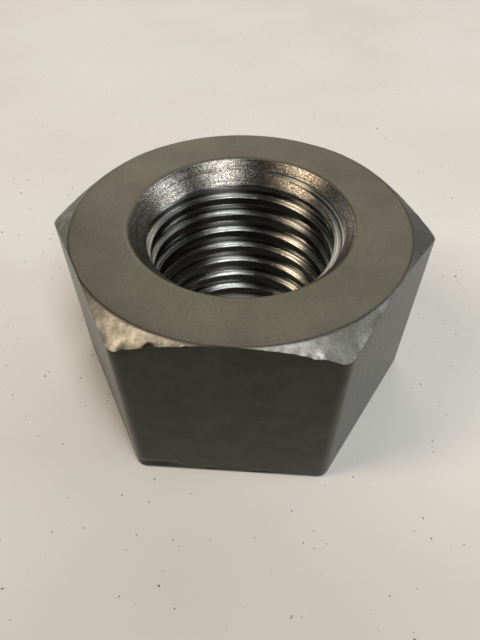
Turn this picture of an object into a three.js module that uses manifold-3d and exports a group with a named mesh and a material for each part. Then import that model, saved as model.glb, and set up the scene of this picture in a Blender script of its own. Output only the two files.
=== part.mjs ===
// Heavy hex nut for a 1 1/4 inch, 7 threads per inch bolt, with a right-hand thread.
// It is one steel forging: a hexagon with softened corners, a 30 degree chamfer turned round its top,
// and a tapped bore with a countersink at each mouth.
// Millimetres. The origin is the centre of the bearing face, and +Z runs up the thread's axis.
// Two opposite corners lie on the X axis, so one pair of flats faces -Y and +Y.

import * as THREE from "three";
import { mergeVertices } from "three/addons/utils/BufferGeometryUtils.js";
import Module from "manifold-3d";

const wasm = await Module();
wasm.setup();

// Driving dimensions
const INCH = 25.4;
const ACROSS_FLATS = 2 * INCH;
const HEIGHT = (1 + 7 / 32) * INCH;
const CORNER_RADIUS = 1.5; // of the six upright edges
const EDGE_BREAK = 0.4; // round the foot and the top of the flats
const CHAMFER_CIRCLE_RADIUS = 25.1; // where the turned chamfer meets the top face
const CHAMFER_SLOPE = Math.tan(THREE.MathUtils.degToRad(30));
const THREAD_MAJOR_RADIUS = (1.25 * INCH) / 2;
const THREAD_MINOR_RADIUS = 14.1;
const PITCH = INCH / 7;
const THREAD_START = 3.31; // height of the groove's middle where it crosses the +X side
const TOP_SINK_RADIUS = 17.06;
const TOP_SINK_DEPTH = 3.55;
const FOOT_SINK_RADIUS = 16.1;
const FOOT_SINK_DEPTH = 2;

// Fineness of the faceting
const BORE_SIDES = 48; // the groove has the same number of steps in a turn, so the facets line up
const CHAMFER_SIDES = 96;
const CORNER_STEPS = 4;

const OVERCUT = 1; // how far a cutter runs past the surface it cuts

const steel = new THREE.MeshStandardMaterial({ color: 0x6a665e, roughness: 0.45, metalness: 1 });

function solidFrom(geometry) {
  const bare = geometry.clone();
  bare.deleteAttribute("normal");
  bare.deleteAttribute("uv");
  const merged = mergeVertices(bare, 1e-4);
  const vertProperties = merged.attributes.position.array;
  const triVerts = new Uint32Array(merged.index.array);
  return new wasm.Manifold(new wasm.Mesh({ numProp: 3, vertProperties, triVerts }));
}

function geometryFrom(solid) {
  const mesh = solid.getMesh();
  const geometry = new THREE.BufferGeometry();
  geometry.setAttribute("position", new THREE.BufferAttribute(mesh.vertProperties, mesh.numProp));
  geometry.setIndex(new THREE.BufferAttribute(mesh.triVerts, 1));
  geometry.computeVertexNormals();
  return geometry;
}

// A profile of [radius, height] pairs, turned about the Z axis.
function turned(profile, sides) {
  const points = profile.map(([radius, height]) => new THREE.Vector2(radius, height));
  return new THREE.LatheGeometry(points, sides).rotateX(Math.PI / 2);
}

// The hexagon seen from above, with an arc at each corner.
function hexagonOutline() {
  const outline = new THREE.Shape();
  const arcDistance = (ACROSS_FLATS / 2 - CORNER_RADIUS) / Math.cos(Math.PI / 6);
  for (let corner = 0; corner < 6; corner++) {
    const azimuth = (corner * Math.PI) / 3;
    outline.absarc(
      arcDistance * Math.cos(azimuth),
      arcDistance * Math.sin(azimuth),
      CORNER_RADIUS,
      azimuth - Math.PI / 6,
      azimuth + Math.PI / 6,
    );
  }
  return outline;
}

// The hexagonal bar that the nut is cut from, its edges broken at the foot and the top.
function hexagonBlank() {
  const blank = new THREE.ExtrudeGeometry(hexagonOutline(), {
    depth: HEIGHT - 2 * EDGE_BREAK,
    curveSegments: CORNER_STEPS,
    bevelThickness: EDGE_BREAK,
    bevelSize: EDGE_BREAK,
    bevelOffset: -EDGE_BREAK,
    bevelSegments: 1,
  });
  return solidFrom(blank.translate(0, 0, EDGE_BREAK));
}

// The wide cone whose slope leaves the chamfer on the six top corners.
function chamferCone() {
  const clear = ACROSS_FLATS; // well outside the corners
  const heightAt = (radius) => HEIGHT + (CHAMFER_CIRCLE_RADIUS - radius) * CHAMFER_SLOPE;
  const profile = [
    [0, -OVERCUT],
    [clear, -OVERCUT],
    [clear, heightAt(clear)],
    [0, heightAt(0)],
  ];
  return solidFrom(turned(profile, CHAMFER_SIDES));
}

// The hole at the thread's minor diameter, with both countersinks run on past the faces.
function boreCutter() {
  const topSpread = ((TOP_SINK_RADIUS - THREAD_MINOR_RADIUS) / TOP_SINK_DEPTH) * OVERCUT;
  const footSpread = ((FOOT_SINK_RADIUS - THREAD_MINOR_RADIUS) / FOOT_SINK_DEPTH) * OVERCUT;
  const profile = [
    [0, -OVERCUT],
    [FOOT_SINK_RADIUS + footSpread, -OVERCUT],
    [THREAD_MINOR_RADIUS, FOOT_SINK_DEPTH],
    [THREAD_MINOR_RADIUS, HEIGHT - TOP_SINK_DEPTH],
    [TOP_SINK_RADIUS + topSpread, HEIGHT + OVERCUT],
    [0, HEIGHT + OVERCUT],
  ];
  return solidFrom(turned(profile, BORE_SIDES));
}

// The thread groove: its 60 degree section, drawn as (height, radius), is extruded straight
// and then wound round the axis, so that depth becomes angle.
function threadGroove() {
  const mouthRadius = THREAD_MINOR_RADIUS - OVERCUT;
  const rootHalfWidth = PITCH / 16;
  const flankRise = (THREAD_MAJOR_RADIUS - mouthRadius) * Math.tan(Math.PI / 6);
  const mouthHalfWidth = rootHalfWidth + flankRise;
  const section = new THREE.Shape([
    new THREE.Vector2(-mouthHalfWidth, mouthRadius),
    new THREE.Vector2(mouthHalfWidth, mouthRadius),
    new THREE.Vector2(rootHalfWidth, THREAD_MAJOR_RADIUS),
    new THREE.Vector2(-rootHalfWidth, THREAD_MAJOR_RADIUS),
  ]);
  const turnsBelow = Math.ceil((THREAD_START + mouthHalfWidth) / PITCH);
  const turnsAbove = Math.ceil((HEIGHT - THREAD_START + mouthHalfWidth) / PITCH);
  const turns = turnsBelow + turnsAbove;
  const groove = new THREE.ExtrudeGeometry(section, {
    depth: turns * 2 * Math.PI,
    steps: turns * BORE_SIDES,
    bevelEnabled: false,
  });
  const position = groove.attributes.position;
  for (let i = 0; i < position.count; i++) {
    const angle = position.getZ(i) - turnsBelow * 2 * Math.PI;
    const radius = position.getY(i);
    const height = THREAD_START + (PITCH * angle) / (2 * Math.PI) + position.getX(i);
    position.setXYZ(i, radius * Math.cos(angle), radius * Math.sin(angle), height);
  }
  return solidFrom(groove);
}

function hexNut() {
  const body = hexagonBlank().intersect(chamferCone());
  const solid = body.subtract(boreCutter()).subtract(threadGroove());
  const mesh = new THREE.Mesh(geometryFrom(solid), steel);
  mesh.name = "hex_nut";
  return mesh;
}

const root = new THREE.Group();
root.add(hexNut());

export default root;
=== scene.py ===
"""A heavy hex nut of plain forged steel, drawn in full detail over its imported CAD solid.

The nut is one closed mesh, built from rings of points round its axis: up the six flats, over the
turned chamfer and the top face, down the countersink, along the helical thread and out at the foot.
Lengths are in millimetres and become metres when a mesh is made. Azimuths go anticlockwise from +X.
The corners lie at 0, 60, ... degrees, so the flat nearest the camera faces -Y.
"""

import math

import bpy
import numpy as np
from mathutils import Matrix, Vector, noise


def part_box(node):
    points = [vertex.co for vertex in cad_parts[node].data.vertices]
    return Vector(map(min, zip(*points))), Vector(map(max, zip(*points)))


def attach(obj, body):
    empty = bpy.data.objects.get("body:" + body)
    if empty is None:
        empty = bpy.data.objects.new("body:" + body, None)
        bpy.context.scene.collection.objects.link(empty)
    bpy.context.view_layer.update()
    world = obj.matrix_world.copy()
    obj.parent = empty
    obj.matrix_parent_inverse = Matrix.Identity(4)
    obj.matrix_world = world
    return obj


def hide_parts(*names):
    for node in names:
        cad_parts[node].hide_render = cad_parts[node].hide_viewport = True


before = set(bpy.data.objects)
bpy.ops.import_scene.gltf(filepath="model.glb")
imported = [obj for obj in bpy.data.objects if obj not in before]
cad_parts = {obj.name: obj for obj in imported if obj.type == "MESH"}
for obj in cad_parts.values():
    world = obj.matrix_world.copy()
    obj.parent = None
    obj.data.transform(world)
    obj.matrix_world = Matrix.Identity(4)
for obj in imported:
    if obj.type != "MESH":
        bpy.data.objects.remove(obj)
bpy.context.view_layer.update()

MM = 0.001
INCH = 25.4
TURN = 2 * math.pi
SIXTH = TURN / 6

# The nut's outside, taken from the frame
LOW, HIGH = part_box("hex_nut")
HEIGHT = (HIGH.z - LOW.z) / MM
APOTHEM = (HIGH.y - LOW.y) / 2 / MM

# Edges
CORNER_RADIUS = 1.9  # of the six upright corners
FOOT_RADIUS = 0.5  # of the rounding at the foot of the flats
RIM_BREAK = 0.18  # between the top face and its countersink
FLAT_LIP = 0.12  # the strip of each flat that keeps the chamfer's lower edge crisp
SHARP_ANGLE = math.radians(38)  # edges bent by more than this aren't shaded smooth

# The chamfer, turned a little off centre on an uneven forging
CHAMFER_SLOPE = math.tan(math.radians(30))
CHAMFER_CIRCLE = 25.1
CHAMFER_RUNOUT = 0.36  # how far off centre
CHAMFER_RUNOUT_AZIMUTH = math.radians(235)
CHAMFER_LEAST_WIDTH = 0.1  # where it runs out, at the middle of a flat
CHAMFER_LEAST_DROP = 0.02
CHAMFER_RAGGEDNESS = 0.85
BACK_RAGGEDNESS = 0.2  # round the back, as a share of the front's

# A notch in the chamfer's lower edge, at the front left
NOTCH_AZIMUTH = math.radians(249.5)
NOTCH_HALF_WIDTH = math.radians(1.2)
NOTCH_RISE = 1.3  # as a share of the raggedness
NOTCH_DEPTH = 0.9  # below the top face, to its middle
NOTCH_REACH = 1.1  # of the dark metal round it

# Knocks on the front flat: X, height, half length, half height and depth of each
KNOCKS = [(-11.0, 1.7, 2.9, 0.6, 0.22), (-3.2, 1.0, 0.9, 0.4, 0.14), (4.6, 0.9, 1.6, 0.35, 0.12)]
KNOCKED_UP_TO = 3.0  # the rings are close enough together below this height to show them

# Bore and thread
PITCH = INCH / 7
THREAD_MAJOR = 1.25 * INCH / 2
THREAD_MINOR = 14.1
THREAD_START = 3.31  # height of the groove's middle on the +X side
FLANK_SLOPE = 1 / math.tan(math.radians(30))
SHARP_ROOT = THREAD_MAJOR + PITCH * FLANK_SLOPE / 16  # where the two flanks would meet
ROOT_ROUNDING = SHARP_ROOT - THREAD_MAJOR
MOUTH_HALF_WIDTH = (SHARP_ROOT - THREAD_MINOR) / FLANK_SLOPE
BURR_HEIGHT = 0.04
BURR_HALF_WIDTH = 0.12
CREST_SHADE_DEPTH = 0.12  # how far out from the crest the painted shade on the flanks reaches
SHADE_LINE_RADIUS = 15.15  # of the line of painted shade along the flanks
SHADE_LINE_HALF_WIDTH = 0.25

# Countersinks: radius at the face, and depth down to the thread's crests
TOP_SINK_RADIUS = 17.06
TOP_SINK_DEPTH = 3.55
TOP_SINK_SLOPE = (TOP_SINK_RADIUS - THREAD_MINOR) / TOP_SINK_DEPTH
FOOT_SINK_RADIUS = 16.1
FOOT_SINK_DEPTH = 2.0
FOOT_SINK_SLOPE = (FOOT_SINK_RADIUS - THREAD_MINOR) / FOOT_SINK_DEPTH

# Fineness of the mesh
FLAT_STEPS = 58
CORNER_STEPS = 8
WELD = 0.0005  # points that agree when rounded to this are one

# Painted shadow on the board in front of the nut: the Y where it starts and the Y where it is full
PAINTED_SHADOW_STARTS = -20.0
PAINTED_SHADOW_FULL = -70.0

# Material slots of the nut's mesh, in order
FORGED, FACED, TURNED, BORED, TAPPED = range(5)


# ---------------------------------------------------------------- shape

def azimuths():
    """Angles once round the nut, close together at the six corners."""
    half_corner = math.atan2(CORNER_RADIUS, 2 * APOTHEM)
    corner = np.linspace(-half_corner, half_corner, CORNER_STEPS, endpoint=False)
    flat = np.linspace(half_corner, SIXTH - half_corner, FLAT_STEPS, endpoint=False)
    sector = np.concatenate([corner, flat])
    return np.concatenate([sector + k * SIXTH for k in range(6)])


def hexagon(azimuth, inset=0.0):
    """Distance from the axis to the round-cornered hexagon, drawn in by an inset."""
    apothem = APOTHEM - inset
    radius = CORNER_RADIUS - inset
    off_corner = np.abs((azimuth + SIXTH / 2) % SIXTH - SIXTH / 2)
    arc_middle = (apothem - radius) / math.cos(SIXTH / 2)
    arc_end = math.atan2(radius / 2, arc_middle + radius * math.cos(SIXTH / 2))
    on_flat = apothem / np.cos(SIXTH / 2 - off_corner)
    under_root = radius**2 - (arc_middle * np.sin(off_corner)) ** 2
    on_arc = arc_middle * np.cos(off_corner) + np.sqrt(np.maximum(under_root, 0))
    return np.where(off_corner > arc_end, on_flat, on_arc)


def wander(azimuth, length, seed):
    """Smooth random values, from -1 to 1, round the nut, changing over about that length."""
    scale = APOTHEM / length
    points = zip(np.cos(azimuth) * scale, np.sin(azimuth) * scale)
    return np.array([noise.noise(Vector((x, y, seed))) for x, y in points])


def chamfer_circle(azimuth):
    """Radius at which the chamfer meets the top face."""
    return CHAMFER_CIRCLE + CHAMFER_RUNOUT * np.cos(azimuth - CHAMFER_RUNOUT_AZIMUTH)


def chamfer_drop(azimuth):
    """How far below the top face the chamfer's cone runs out through the flats."""
    drop = (hexagon(azimuth) - chamfer_circle(azimuth)) * CHAMFER_SLOPE
    return np.maximum(drop, CHAMFER_LEAST_DROP)


def chamfer_raggedness(azimuth):
    """How far the chamfer's lower edge strays above the cone, mostly on the uneven front."""
    front = np.maximum(-np.sin(azimuth), 0) ** 2
    share = BACK_RAGGEDNESS + (1 - BACK_RAGGEDNESS) * front
    waves = 0.5 * wander(azimuth, length=3.2, seed=4.7)
    chips = 0.8 * wander(azimuth, length=1.1, seed=9.1)
    notch = NOTCH_RISE * np.exp(-(((azimuth - NOTCH_AZIMUTH) / NOTCH_HALF_WIDTH) ** 2))
    fade = np.tanh(chamfer_drop(azimuth) / 2)  # to nothing where the chamfer is narrow
    return CHAMFER_RAGGEDNESS * share * (waves + chips + notch) * fade


def knock_depth(azimuth, height):
    """How deep the knocks near the foot of the front flat are: level inside, and steep at the edge."""
    x = hexagon(azimuth) * np.cos(azimuth)
    depth = np.zeros_like(azimuth)
    for middle, level, length, rise, deep in KNOCKS:
        blow = ((x - middle) / length) ** 4 + ((height - level) / rise) ** 4
        depth += np.where(np.sin(azimuth) < 0, deep * np.exp(-blow), 0)
    return depth


def thread_wall(azimuth, height):
    """Radius of the helical thread: a 60 degree groove with a round root and a flat crest."""
    off_groove = distance_from_groove(azimuth, height)
    groove = SHARP_ROOT - np.hypot(off_groove * FLANK_SLOPE, ROOT_ROUNDING)
    return np.maximum(groove, THREAD_MINOR)


def burr(azimuth, height):
    """How far the crest's edges can stand off the wall."""
    off_edge = distance_from_groove(azimuth, height) - MOUTH_HALF_WIDTH
    return BURR_HEIGHT * np.exp(-((off_edge / BURR_HALF_WIDTH) ** 2))


def distance_from_groove(azimuth, height):
    """How far up or down the nearest middle of the helical groove is."""
    middle = THREAD_START + PITCH * azimuth / TURN
    return np.abs((height - middle + PITCH / 2) % PITCH - PITCH / 2)


def top_sink(height):
    """Radius of the top countersink's cone at a height."""
    return TOP_SINK_RADIUS - (HEIGHT - height) * TOP_SINK_SLOPE


def foot_sink(height):
    """Radius of the foot countersink's cone at a height."""
    return FOOT_SINK_RADIUS - height * FOOT_SINK_SLOPE


def outer_rings(azimuth):
    """The rings from the foot's countersink out, up the flats, and in over the top.

    Each is (radii, heights, material of the strip that follows it).
    """
    rings = []

    def add(radius, height, material):
        level = np.zeros_like(azimuth)
        rings.append((radius + level, height + level, material))

    sill = hexagon(azimuth, FOOT_RADIUS)
    for t in np.linspace(0, 1, 9):
        add(FOOT_SINK_RADIUS + (sill - FOOT_SINK_RADIUS) * t, 0, FACED)
    for angle in np.linspace(0, math.pi / 2, 5)[1:]:
        inset = FOOT_RADIUS * (1 - math.sin(angle))
        add(hexagon(azimuth, inset), FOOT_RADIUS * (1 - math.cos(angle)), FORGED)

    wall = hexagon(azimuth)
    drop = chamfer_drop(azimuth)
    ragged = chamfer_raggedness(azimuth)
    edge = HEIGHT - drop + ragged
    for height in np.linspace(FOOT_RADIUS, KNOCKED_UP_TO, 10)[1:]:
        add(wall - knock_depth(azimuth, height), height, FORGED)
    for t in np.linspace(0, 1, 6)[1:-1]:
        add(wall, KNOCKED_UP_TO + (edge - KNOCKED_UP_TO) * t, FORGED)
    add(wall, edge - FLAT_LIP, FORGED)

    circle = np.minimum(chamfer_circle(azimuth), wall - CHAMFER_LEAST_WIDTH)
    for t in np.linspace(0.01, 0.99, 10) ** 1.2:  # up the chamfer, closest at its lower edge
        stray = ragged * (1 - t) ** 4  # dies out soon, so that the face of the cone isn't rippled
        add(wall + (circle - wall) * t, HEIGHT - drop * (1 - t) + stray, TURNED)

    rim = TOP_SINK_RADIUS + RIM_BREAK
    for t in np.linspace(0.02, 1, 17):
        add(circle + (rim - circle) * t, HEIGHT, FACED)
    return rings


def sink_rings(azimuth, bottom):
    """The top countersink's rings, down to where the thread first cuts into it."""
    level = np.zeros_like(azimuth)
    heights = np.linspace(HEIGHT - RIM_BREAK, bottom, 8)
    return [(top_sink(height) + level, height + level, BORED) for height in heights]


def thread_rows():
    """Distances down from a groove's middle, over one pitch, closest at the thread's edges."""
    root = [0, 0.08, 0.17, 0.28]
    flank = [0.45, 0.7, 0.95, 1.13]
    crest = [MOUTH_HALF_WIDTH - 0.03, MOUTH_HALF_WIDTH + 0.05, 1.55, PITCH / 2]
    half = root + flank + crest
    return np.array(half + [PITCH - d for d in reversed(half[1:-1])])


def thread_grid(azimuth, top, bottom):
    """Radii and heights of rows that follow the helix, held between two heights.

    Row k at the end of a turn meets row k - (rows in a pitch) at the start.
    """
    rows = thread_rows()
    pitches = math.ceil((top - bottom) / PITCH) + 2
    down = np.concatenate([rows + n * PITCH for n in range(pitches)])
    start = THREAD_START + PITCH * math.ceil((top - THREAD_START) / PITCH)
    height = start - down[:, None] + PITCH * azimuth[None, :] / TURN
    height = np.clip(height, bottom, top)
    thread = thread_wall(azimuth[None, :], height)
    turn_step = 0.7  # each row's burrs are taken from another stretch of the noise
    seed_step = 0.31
    ragged = [wander(azimuth + turn_step * k, 0.8, seed_step * k) for k in range(len(rows))]
    thread += burr(azimuth[None, :], height) * np.tile(ragged, (pitches, 1))
    radius = np.maximum(np.maximum(thread, top_sink(height)), foot_sink(height))
    return radius, height, len(rows)


def nut_surface():
    """Points, four-sided faces and face materials of the whole nut."""
    azimuth = azimuths()
    sink_bottom = HEIGHT - (TOP_SINK_RADIUS - THREAD_MAJOR) / TOP_SINK_SLOPE
    foot_top = (FOOT_SINK_RADIUS - THREAD_MAJOR) / FOOT_SINK_SLOPE
    rings = outer_rings(azimuth) + sink_rings(azimuth, sink_bottom)
    grid_radius, grid_height, per_pitch = thread_grid(azimuth, sink_bottom, foot_top)

    radius = np.vstack([ring[0] for ring in rings] + [grid_radius])
    height = np.vstack([ring[1] for ring in rings] + [grid_height])
    x = radius * np.cos(azimuth)
    y = radius * np.sin(azimuth)
    points = np.stack([x.ravel(), y.ravel(), height.ravel()], axis=1)
    ids = np.arange(radius.size).reshape(radius.shape)
    quads, materials = stitched(ids, [ring[2] for ring in rings], per_pitch)
    return points, quads, materials


def stitched(ids, ring_materials, per_pitch):
    """Faces between rows of point ids, first the rings and then the thread's grid.

    The last row meets the first, so the surface closes on itself.
    """
    grid = ids[len(ring_materials):]
    quads = []
    materials = []

    def strip(upper, lower, material):
        """Faces between two rows of point ids, which already close on themselves."""
        quads.append(np.stack([upper[:-1], upper[1:], lower[1:], lower[:-1]], axis=1))
        materials.append(np.full(len(upper) - 1, material))

    def closed(row):
        return np.append(row, row[0])

    def helical(k):
        """Row k of the grid, closed by the point that the helix reaches after a whole turn."""
        return np.append(grid[k], grid[max(k - per_pitch, 0), 0])

    for k, material in enumerate(ring_materials[:-1]):
        strip(closed(ids[k]), closed(ids[k + 1]), material)
    strip(closed(ids[len(ring_materials) - 1]), helical(0), BORED)
    for k in range(len(grid) - 1):
        strip(helical(k), helical(k + 1), TAPPED)
    strip(closed(grid[-1]), closed(ids[0]), BORED)
    return np.concatenate(quads), np.concatenate(materials)


def welded(points, quads, materials):
    """The same surface with equal points joined and the faces that vanish left out."""
    keys = np.round(points / WELD).astype(np.int64)
    first, joined = np.unique(keys, axis=0, return_index=True, return_inverse=True)[1:]
    joined = joined.reshape(-1)
    faces = []
    kept = []
    for quad, material in zip(joined[quads].tolist(), materials.tolist()):
        face = [a for a, b in zip(quad, quad[1:] + quad[:1]) if a != b]
        if len(set(face)) == len(face) and len(face) > 2:
            faces.append(face)
            kept.append(material)
    return points[first], faces, kept


def on_countersink(mesh):
    """Which faces of the bore lie on one of the two cones, to within the mesh's own error."""
    tolerance = 0.03
    centres = np.zeros(len(mesh.polygons) * 3)
    mesh.polygons.foreach_get("center", centres)
    x, y, z = centres.reshape(-1, 3).T / MM
    cone = np.maximum(top_sink(z), foot_sink(z))
    return np.abs(np.hypot(x, y) - cone) < tolerance


def make_mesh(name, points, faces):
    mesh = bpy.data.meshes.new(name)
    mesh.from_pydata((points * MM).tolist(), [], faces)
    mesh.update()
    piece = bpy.data.objects.new(name, mesh)
    bpy.context.scene.collection.objects.link(piece)
    return piece


def make_nut():
    points, faces, materials = welded(*nut_surface())
    piece = make_mesh("forged_nut", points, faces)
    mesh = piece.data
    for material in (forged(), faced(), turned(), bored(), tapped()):
        mesh.materials.append(material)
    materials = np.array(materials)
    materials[(materials == TAPPED) & on_countersink(mesh)] = BORED
    mesh.polygons.foreach_set("material_index", materials.astype(np.int32))
    mesh.shade_smooth()
    mesh.set_sharp_from_angle(angle=SHARP_ANGLE)
    return piece


# ---------------------------------------------------------------- materials

class Shader:
    """A material being put together, with short calls for the nodes that it needs."""

    def __init__(self, name, metallic=1.0):
        self.material = bpy.data.materials.new(name)
        self.material.use_nodes = True
        self.tree = self.material.node_tree
        self.surface = self.tree.nodes["Principled BSDF"]
        self.surface.inputs["Metallic"].default_value = metallic
        self.position = self.node("ShaderNodeTexCoord").outputs["Object"]

    def node(self, kind, inputs=(), **settings):
        """A new node. Inputs are (name or number, value or socket) pairs."""
        made = self.tree.nodes.new(kind)
        for key, value in settings.items():
            setattr(made, key, value)
        for key, value in inputs:
            if isinstance(value, bpy.types.NodeSocket):
                self.tree.links.new(value, made.inputs[key])
            else:
                made.inputs[key].default_value = value
        return made

    def maths(self, operation, *values):
        """One step of arithmetic on values or sockets."""
        pairs = list(enumerate(values))
        return self.node("ShaderNodeMath", pairs, operation=operation).outputs[0]

    def vector(self, operation, inputs, output=0):
        """One step of arithmetic on vectors. The output is a name or a number."""
        made = self.node("ShaderNodeVectorMath", inputs, operation=operation)
        return made.outputs[output]

    def between(self, value, low, high, to_low=0.0, to_high=1.0):
        """The value carried from one range to another, and held inside it."""
        inputs = [(0, value), (1, low), (2, high), (3, to_low), (4, to_high)]
        return self.node("ShaderNodeMapRange", inputs).outputs[0]

    def blend(self, factor, first, second):
        """A colour between two, given as RGB triples or sockets."""
        colours = [c if isinstance(c, bpy.types.NodeSocket) else (*c, 1) for c in (first, second)]
        inputs = [(0, factor), (6, colours[0]), (7, colours[1])]  # 6 and 7 are its colour sockets
        return self.node("ShaderNodeMix", inputs, data_type="RGBA").outputs[2]

    def off_axis(self):
        """The position with its height left out."""
        return self.vector("MULTIPLY", [(0, self.position), (1, (1, 1, 0))])

    def radius(self):
        """Distance from the nut's axis, in mm."""
        length = self.vector("LENGTH", [(0, self.off_axis())], "Value")
        return self.maths("DIVIDE", length, MM)

    def along(self, axis):
        """Distance along the X, Y or Z axis, in mm."""
        parts = self.node("ShaderNodeSeparateXYZ", [(0, self.position)])
        return self.maths("DIVIDE", parts.outputs[axis], MM)

    def near(self, point, reach):
        """1 at a point, fading to 0 at that distance from it."""
        place = tuple(value * MM for value in point)
        gap = self.vector("DISTANCE", [(0, self.position), (1, place)], "Value")
        return self.between(gap, 0, reach * MM, 1, 0)

    def grain(self, size, detail=2.0, roughness=0.5):
        """Noise from 0 to 1 whose lumps are about that many millimetres across."""
        inputs = [
            ("Vector", self.position),
            ("Scale", 1 / (size * MM)),
            ("Detail", detail),
            ("Roughness", roughness),
        ]
        return self.node("ShaderNodeTexNoise", inputs).outputs["Fac"]

    def turning_marks(self, across, width, length, detail=2.0):
        """Noise from 0 to 1 drawn out round the axis, as a tool leaves it.

        Across is the socket, in mm, along which the marks lie side by side. The noise's fourth
        coordinate climbs with the thread, so that no two of its turns look alike.
        """
        outward = self.vector("NORMALIZE", [(0, self.off_axis())])
        around = self.vector("SCALE", [(0, outward), ("Scale", THREAD_MINOR / length)])
        beside = self.node("ShaderNodeCombineXYZ", [(2, self.maths("DIVIDE", across, width))])
        where = self.vector("ADD", [(0, around), (1, beside.outputs[0])])
        turns_up = self.maths("DIVIDE", self.along("Z"), PITCH)
        inputs = [("Vector", where), ("W", turns_up), ("Scale", 1.0), ("Detail", detail)]
        return self.node("ShaderNodeTexNoise", inputs, noise_dimensions="4D").outputs["Fac"]

    def bump(self, height, depth, under=None):
        """A normal roughened by a height from 0 to 1 that stands for that many millimetres."""
        inputs = [("Height", height), ("Strength", 1.0), ("Distance", depth * MM)]
        if under is not None:
            inputs.append(("Normal", under))
        return self.node("ShaderNodeBump", inputs).outputs[0]

    def finish(self, colour, roughness, normal):
        """Link the colour, roughness and normal to the surface, and give back the material."""
        for key, value in (("Base Color", colour), ("Roughness", roughness), ("Normal", normal)):
            self.tree.links.new(value, self.surface.inputs[key])
        return self.material

    def brush_round_axis(self, strength):
        """Spread reflections up and down, as fine scratches that run round the axis do.

        The quarter turn points the spread across the scratches.
        """
        self.surface.inputs["Anisotropic"].default_value = strength
        self.surface.inputs["Anisotropic Rotation"].default_value = 0.25
        around = self.node("ShaderNodeTangent", direction_type="RADIAL", axis="Z")
        self.tree.links.new(around.outputs[0], self.surface.inputs["Tangent"])


def forged():
    """The flats: dark scale left by the forge, with fine pits."""
    look = Shader("forged_scale")
    blotches = look.grain(4, detail=5, roughness=0.6)
    speckle = look.grain(0.45, detail=3, roughness=0.65)
    colour = look.blend(look.between(blotches, 0.35, 0.65), (0.04, 0.041, 0.033), (0.055, 0.056, 0.05))
    colour = look.blend(look.between(speckle, 0.6, 0.7, 0, 0.6), colour, (0.035, 0.031, 0.026))
    roughness = look.between(speckle, 0.3, 0.7, 0.26, 0.4)
    normal = look.bump(speckle, 0.025, look.bump(look.grain(2.2), 0.05))
    return look.finish(colour, roughness, normal)


def faced():
    """The top and the bearing face: satin, warm grey."""
    look = Shader("faced_satin")
    blotches = look.grain(8, detail=4)
    fine = look.grain(0.3, detail=3)
    colour = look.blend(look.between(blotches, 0.3, 0.7), (0.16, 0.148, 0.113), (0.212, 0.198, 0.155))
    colour = look.blend(look.between(fine, 0.3, 0.7, 0, 0.3), colour, (0.1, 0.089, 0.073))
    roughness = look.between(fine, 0.3, 0.7, 0.42, 0.52)
    normal = look.bump(fine, 0.012, look.bump(look.grain(3), 0.02))
    return look.finish(colour, roughness, normal)


def turned():
    """The chamfer: bright metal, mottled where the tool skipped, with painted shade along its upper
    edge.
    """
    look = Shader("turned_chamfer")
    mottle = look.grain(1.3, detail=4, roughness=0.6)
    fine = look.grain(0.3, detail=2)
    colour = look.blend(look.between(mottle, 0.32, 0.62), (0.17, 0.165, 0.149), (0.295, 0.286, 0.26))
    colour = look.blend(look.between(fine, 0.4, 0.7, 0, 0.4), colour, (0.15, 0.142, 0.125))
    # Painted shade: a dark band along the upper edge, frayed by the mottle
    frayed_height = look.maths("ADD", look.along("Z"), look.maths("MULTIPLY", mottle, 0.3))
    upper_edge_shade = look.between(frayed_height, HEIGHT, HEIGHT + 0.1, 0, 0.6)
    notch_middle = (-APOTHEM / math.tan(NOTCH_AZIMUTH), -APOTHEM, HEIGHT - NOTCH_DEPTH)
    notch = look.between(look.near(notch_middle, NOTCH_REACH), 0.2, 0.5)
    # Dark scale round the notch, and the painted shade along the upper edge
    colour = look.blend(look.maths("MAXIMUM", upper_edge_shade, notch), colour, (0.05, 0.045, 0.035))
    roughness = look.between(mottle, 0.3, 0.7, 0.48, 0.36)
    normal = look.bump(fine, 0.018, look.bump(mottle, 0.025))
    return look.finish(colour, roughness, normal)


def bored():
    """The countersinks: bright, granular, with the rings of a slow feed."""
    look = Shader("bored_countersink")
    grit = look.grain(0.16, detail=2, roughness=0.6)
    patches = look.grain(1.2, detail=3, roughness=0.6)
    rings = look.turning_marks(look.along("Z"), width=0.2, length=9)
    colour = look.blend(look.between(grit, 0.38, 0.62), (0.03, 0.028, 0.025), (0.54, 0.5, 0.44))
    colour = look.blend(look.between(rings, 0.32, 0.46, 0.8, 0), colour, (0.06, 0.055, 0.05))
    colour = look.blend(look.between(patches, 0.35, 0.5, 0.3, 0), colour, (0.1, 0.095, 0.085))
    roughness = look.between(grit, 0.3, 0.7, 0.32, 0.24)
    normal = look.bump(grit, 0.035, look.bump(rings, 0.03))
    look.brush_round_axis(0.8)
    return look.finish(colour, roughness, normal)


def tapped():
    """The thread: bright streaked flanks with a line of painted shade along them, and crests painted
    dark as shade.
    """
    look = Shader("tapped_thread")
    radius = look.radius()
    streaks = look.turning_marks(radius, width=0.12, length=14, detail=5)
    # Painted shade: the crests darkened, standing in for the dark bore that they reflect
    crest = look.between(radius, THREAD_MINOR + CREST_SHADE_DEPTH / 4, THREAD_MINOR + CREST_SHADE_DEPTH, 0.85, 0)
    # Painted shade: a dark line along the flanks, where the crest above shades them
    off_shade_line = look.maths("ABSOLUTE", look.maths("SUBTRACT", radius, SHADE_LINE_RADIUS))
    shade_line = look.between(off_shade_line, SHADE_LINE_HALF_WIDTH / 2, SHADE_LINE_HALF_WIDTH, 0.8, 0)
    colour = look.blend(look.between(streaks, 0.4, 0.6), (0.11, 0.11, 0.102), (0.64, 0.64, 0.61))
    # The painted shade on the crests and along the flanks
    colour = look.blend(look.maths("MAXIMUM", crest, shade_line), colour, (0.04, 0.037, 0.03))
    roughness = look.between(streaks, 0.35, 0.65, 0.34, 0.23)
    look.brush_round_axis(0.9)
    return look.finish(colour, roughness, look.bump(streaks, 0.06))


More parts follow.
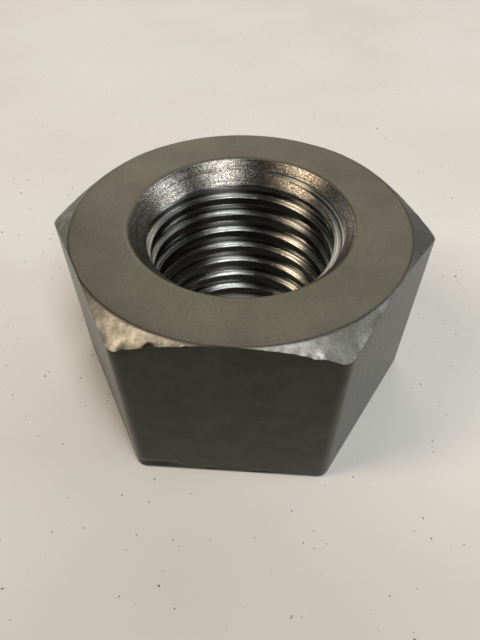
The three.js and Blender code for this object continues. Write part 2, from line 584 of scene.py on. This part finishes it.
def floor_paint():
    """Pale board with a few dark specks, and a painted shadow darkening it in front of the nut."""
    look = Shader("pale_board", metallic=0.0)
    cloud = look.grain(50, detail=3)
    specks = look.grain(0.9, detail=1)
    colour = look.blend(look.between(cloud, 0.3, 0.7), (0.77, 0.74, 0.69), (0.83, 0.81, 0.78))
    # Painted shadow: the board darkens towards the front
    painted_shadow = look.between(look.along("Y"), PAINTED_SHADOW_STARTS, PAINTED_SHADOW_FULL)
    colour = look.blend(painted_shadow, colour, (0.58, 0.56, 0.51))
    colour = look.blend(look.between(specks, 0.74, 0.78), colour, (0.2, 0.17, 0.14))
    roughness = look.between(cloud, 0.3, 0.7, 0.55, 0.65)
    return look.finish(colour, roughness, look.bump(look.grain(1.5), 0.03))


# ---------------------------------------------------------------- studio

def make_floor():
    half = 2500.0
    gap = 0.02  # keeps the floor just clear of the bearing face
    corners = np.array([[-half, -half, 0], [half, -half, 0], [half, half, 0], [-half, half, 0]])
    floor = make_mesh("floor", corners, [[0, 1, 2, 3]])
    floor.data.materials.append(floor_paint())
    floor.location.z = LOW.z - gap * MM


def make_lamp(name, towards, distance, size, radiance, colour, lean=0.0):
    """A soft rectangular lamp, facing the nut from a direction, with a brightness of its own face.

    Distance and size are in metres. Lean, in degrees, tips its upright axis sideways.
    """
    data = bpy.data.lights.new(name, "AREA")
    data.shape = "RECTANGLE"
    data.size, data.size_y = size
    data.energy = radiance * math.pi * size[0] * size[1]
    data.color = colour
    lamp = bpy.data.objects.new(name, data)
    direction = Vector(towards).normalized()
    lamp.location = direction * distance + Vector((0, 0, HEIGHT / 2 * MM))
    aim = direction.to_track_quat("Z", "Y").to_matrix()
    lamp.rotation_euler = (aim @ Matrix.Rotation(math.radians(lean), 3, "Z")).to_euler()
    lamp.visible_camera = False
    bpy.context.scene.collection.objects.link(lamp)


def make_lights():
    """Windows in front and to both sides, a pale ceiling behind, and dim walls all round."""
    daylight = (0.97, 1.0, 0.99)
    skylight = (0.9, 0.96, 1.0)
    sunlight = (1.0, 0.82, 0.6)
    ceiling_white = (1.0, 0.95, 0.88)
    wall_cream = (1.0, 0.91, 0.8)
    wall_white = (1.0, 0.97, 0.92)
    make_lamp("tall_window", (0.335, -0.48, 0.81), 1.0, (0.2, 0.95), 8.5, daylight, lean=-14)
    make_lamp("warm_window", (-0.61, -0.19, 0.74), 1.0, (0.24, 0.46), 9.8, sunlight)
    make_lamp("cool_window", (0.88, 0.07, 0.37), 1.1, (0.36, 0.2), 14.0, skylight)
    make_lamp("back_ceiling", (0.12, 0.72, 0.68), 0.9, (1.0, 0.6), 1.2, ceiling_white)
    make_lamp("back_wall", (-0.35, 0.88, 0.34), 1.2, (0.9, 0.5), 0.65, wall_cream)
    for azimuth in (-150, -90, -30, 10, 130, 175):
        turn = math.radians(azimuth)
        towards = (math.cos(turn), math.sin(turn), 0.14)
        make_lamp(f"backdrop_{azimuth}", towards, 1.5, (1.3, 0.44), 0.6, wall_white)


def make_world():
    world = bpy.data.worlds.new("room")
    world.use_nodes = True
    background = world.node_tree.nodes["Background"]
    background.inputs["Color"].default_value = (0.95, 0.97, 1.0, 1)
    background.inputs["Strength"].default_value = 0.05
    bpy.context.scene.world = world


def make_camera():
    """The photograph's view: 47 degrees above the floor and about a hand's breadth away."""
    place = Vector((4.152, -64.787, 78.132)) * MM
    azimuth = math.radians(-86.06)
    elevation = math.radians(47.05)
    roll = math.radians(-0.06)
    level = math.cos(elevation)
    back = Vector((level * math.cos(azimuth), level * math.sin(azimuth), math.sin(elevation)))
    data = bpy.data.cameras.new("camera")
    data.lens = 29.65
    data.sensor_width = 36.0
    data.clip_start = 0.005
    camera = bpy.data.objects.new("camera", data)
    camera.matrix_world = (
        Matrix.Translation(place)
        @ back.to_track_quat("Z", "Y").to_matrix().to_4x4()
        @ Matrix.Rotation(roll, 4, "Z")
    )
    bpy.context.scene.collection.objects.link(camera)
    bpy.context.scene.camera = camera


nut = make_nut()
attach(nut, "root")
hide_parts("hex_nut")
make_floor()
make_lights()
make_world()
make_camera()
bpy.context.scene.view_settings.view_transform = "Standard"
